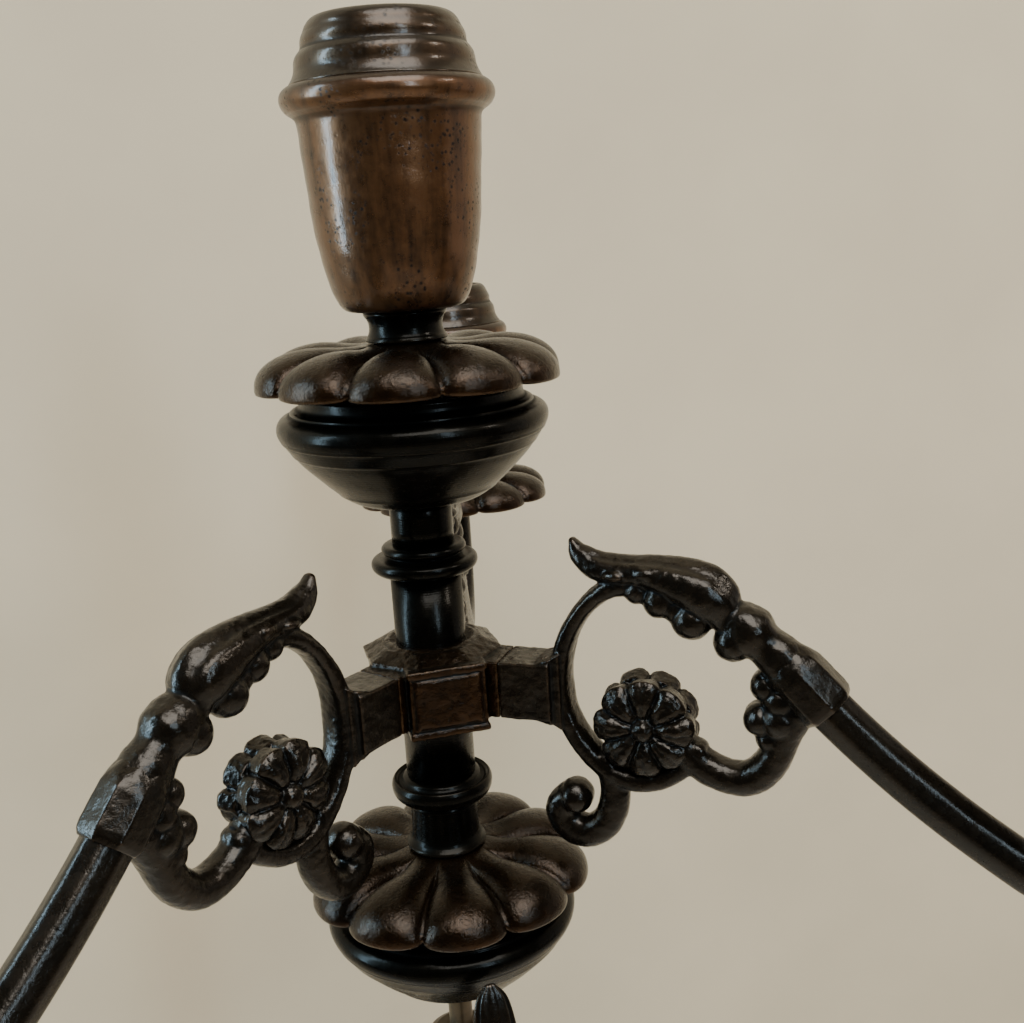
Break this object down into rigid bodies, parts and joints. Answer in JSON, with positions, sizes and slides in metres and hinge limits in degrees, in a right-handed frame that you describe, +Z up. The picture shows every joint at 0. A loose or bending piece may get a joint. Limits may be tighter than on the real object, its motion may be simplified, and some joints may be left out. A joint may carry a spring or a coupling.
{
  "type": "wall sconce",
  "caption": "Swing arm wall sconce: a wall plate and swinging bracket carry a turned bronze column with a lamp cup on top and cast scroll arms that end in drip pans and lamp cups.",
  "frame": {"origin": "centre of the wall plate's back face, on the wall", "axes": "+Z up, -Y out from the wall, +X to the right as seen from the room"},
  "size_m": [0.3535, 0.444, 0.5974],
  "materials": {
    "dark_bronze": "dark brown patina, glossy, worn to red-brown on raised edges",
    "cast_bronze": "rough cast with dark red-brown patina, black in the creases",
    "copper_bronze": "reddish copper brown patina with pits and streaks",
    "black_bronze": "near-black patina, turned and glossy",
    "old_brass": "dull old brass",
    "porcelain": "glazed off-white ceramic"
  },
  "bodies": {
    "wall": {"wall_plate": "dark_bronze", "wall_knuckle": "dark_bronze", "knuckle_pin": "old_brass", "pin_finial": "dark_bronze", "pin_nut": "dark_bronze"},
    "bracket": {"bracket_eye": "dark_bronze", "bracket_tube": "dark_bronze", "bracket_knop": "cast_bronze", "bracket_bend": "dark_bronze", "bracket_collar": "cast_bronze", "bracket_riser": "dark_bronze", "bracket_head": "dark_bronze", "bracket_leaf": "dark_bronze"},
    "cluster": {"pivot_spigot": "old_brass", "centre_rod": "old_brass", "lower_bowl": "black_bronze", "lower_pan": "cast_bronze", "ferrule": "black_bronze", "lower_collar": "black_bronze", "column_tube": "dark_bronze", "hub": "cast_bronze", "upper_collar": "black_bronze", "upper_tube": "dark_bronze", "upper_bowl": "black_bronze", "upper_pan": "cast_bronze", "top_neck": "black_bronze", "top_cup": "copper_bronze", "top_cap": "copper_bronze", "top_lampholder": "porcelain", "top_shell": "old_brass", "right_scroll": "dark_bronze", "right_rosette": "cast_bronze", "right_sleeve": "dark_bronze", "right_tube": "dark_bronze", "right_pan": "cast_bronze", "right_neck": "black_bronze", "right_cup": "copper_bronze", "right_cap": "copper_bronze", "right_lampholder": "porcelain", "right_shell": "old_brass", "left_scroll": "dark_bronze", "left_rosette": "cast_bronze", "left_sleeve": "dark_bronze", "left_tube": "dark_bronze", "left_pan": "cast_bronze", "left_neck": "black_bronze", "left_cup": "copper_bronze", "left_cap": "copper_bronze", "left_lampholder": "porcelain", "left_shell": "old_brass", "rear_scroll": "dark_bronze", "rear_rosette": "cast_bronze", "rear_sleeve": "dark_bronze", "rear_tube": "dark_bronze", "rear_pan": "cast_bronze", "rear_neck": "black_bronze", "rear_cup": "copper_bronze", "rear_cap": "copper_bronze", "rear_lampholder": "porcelain", "rear_shell": "old_brass"}
  },
  "joints": [
    {"name": "bracket_swing", "type": "hinge", "parent": "wall", "child": "bracket", "pos_m": [0, -0.034, 0], "axis": [0, 0, 1], "range_deg": [-45, 45]},
    {"name": "cluster_turn", "type": "hinge", "parent": "bracket", "child": "cluster", "pos_m": [0, -0.3, 0], "axis": [0, 0, 1], "range_deg": [-90, 90]}
  ]
}
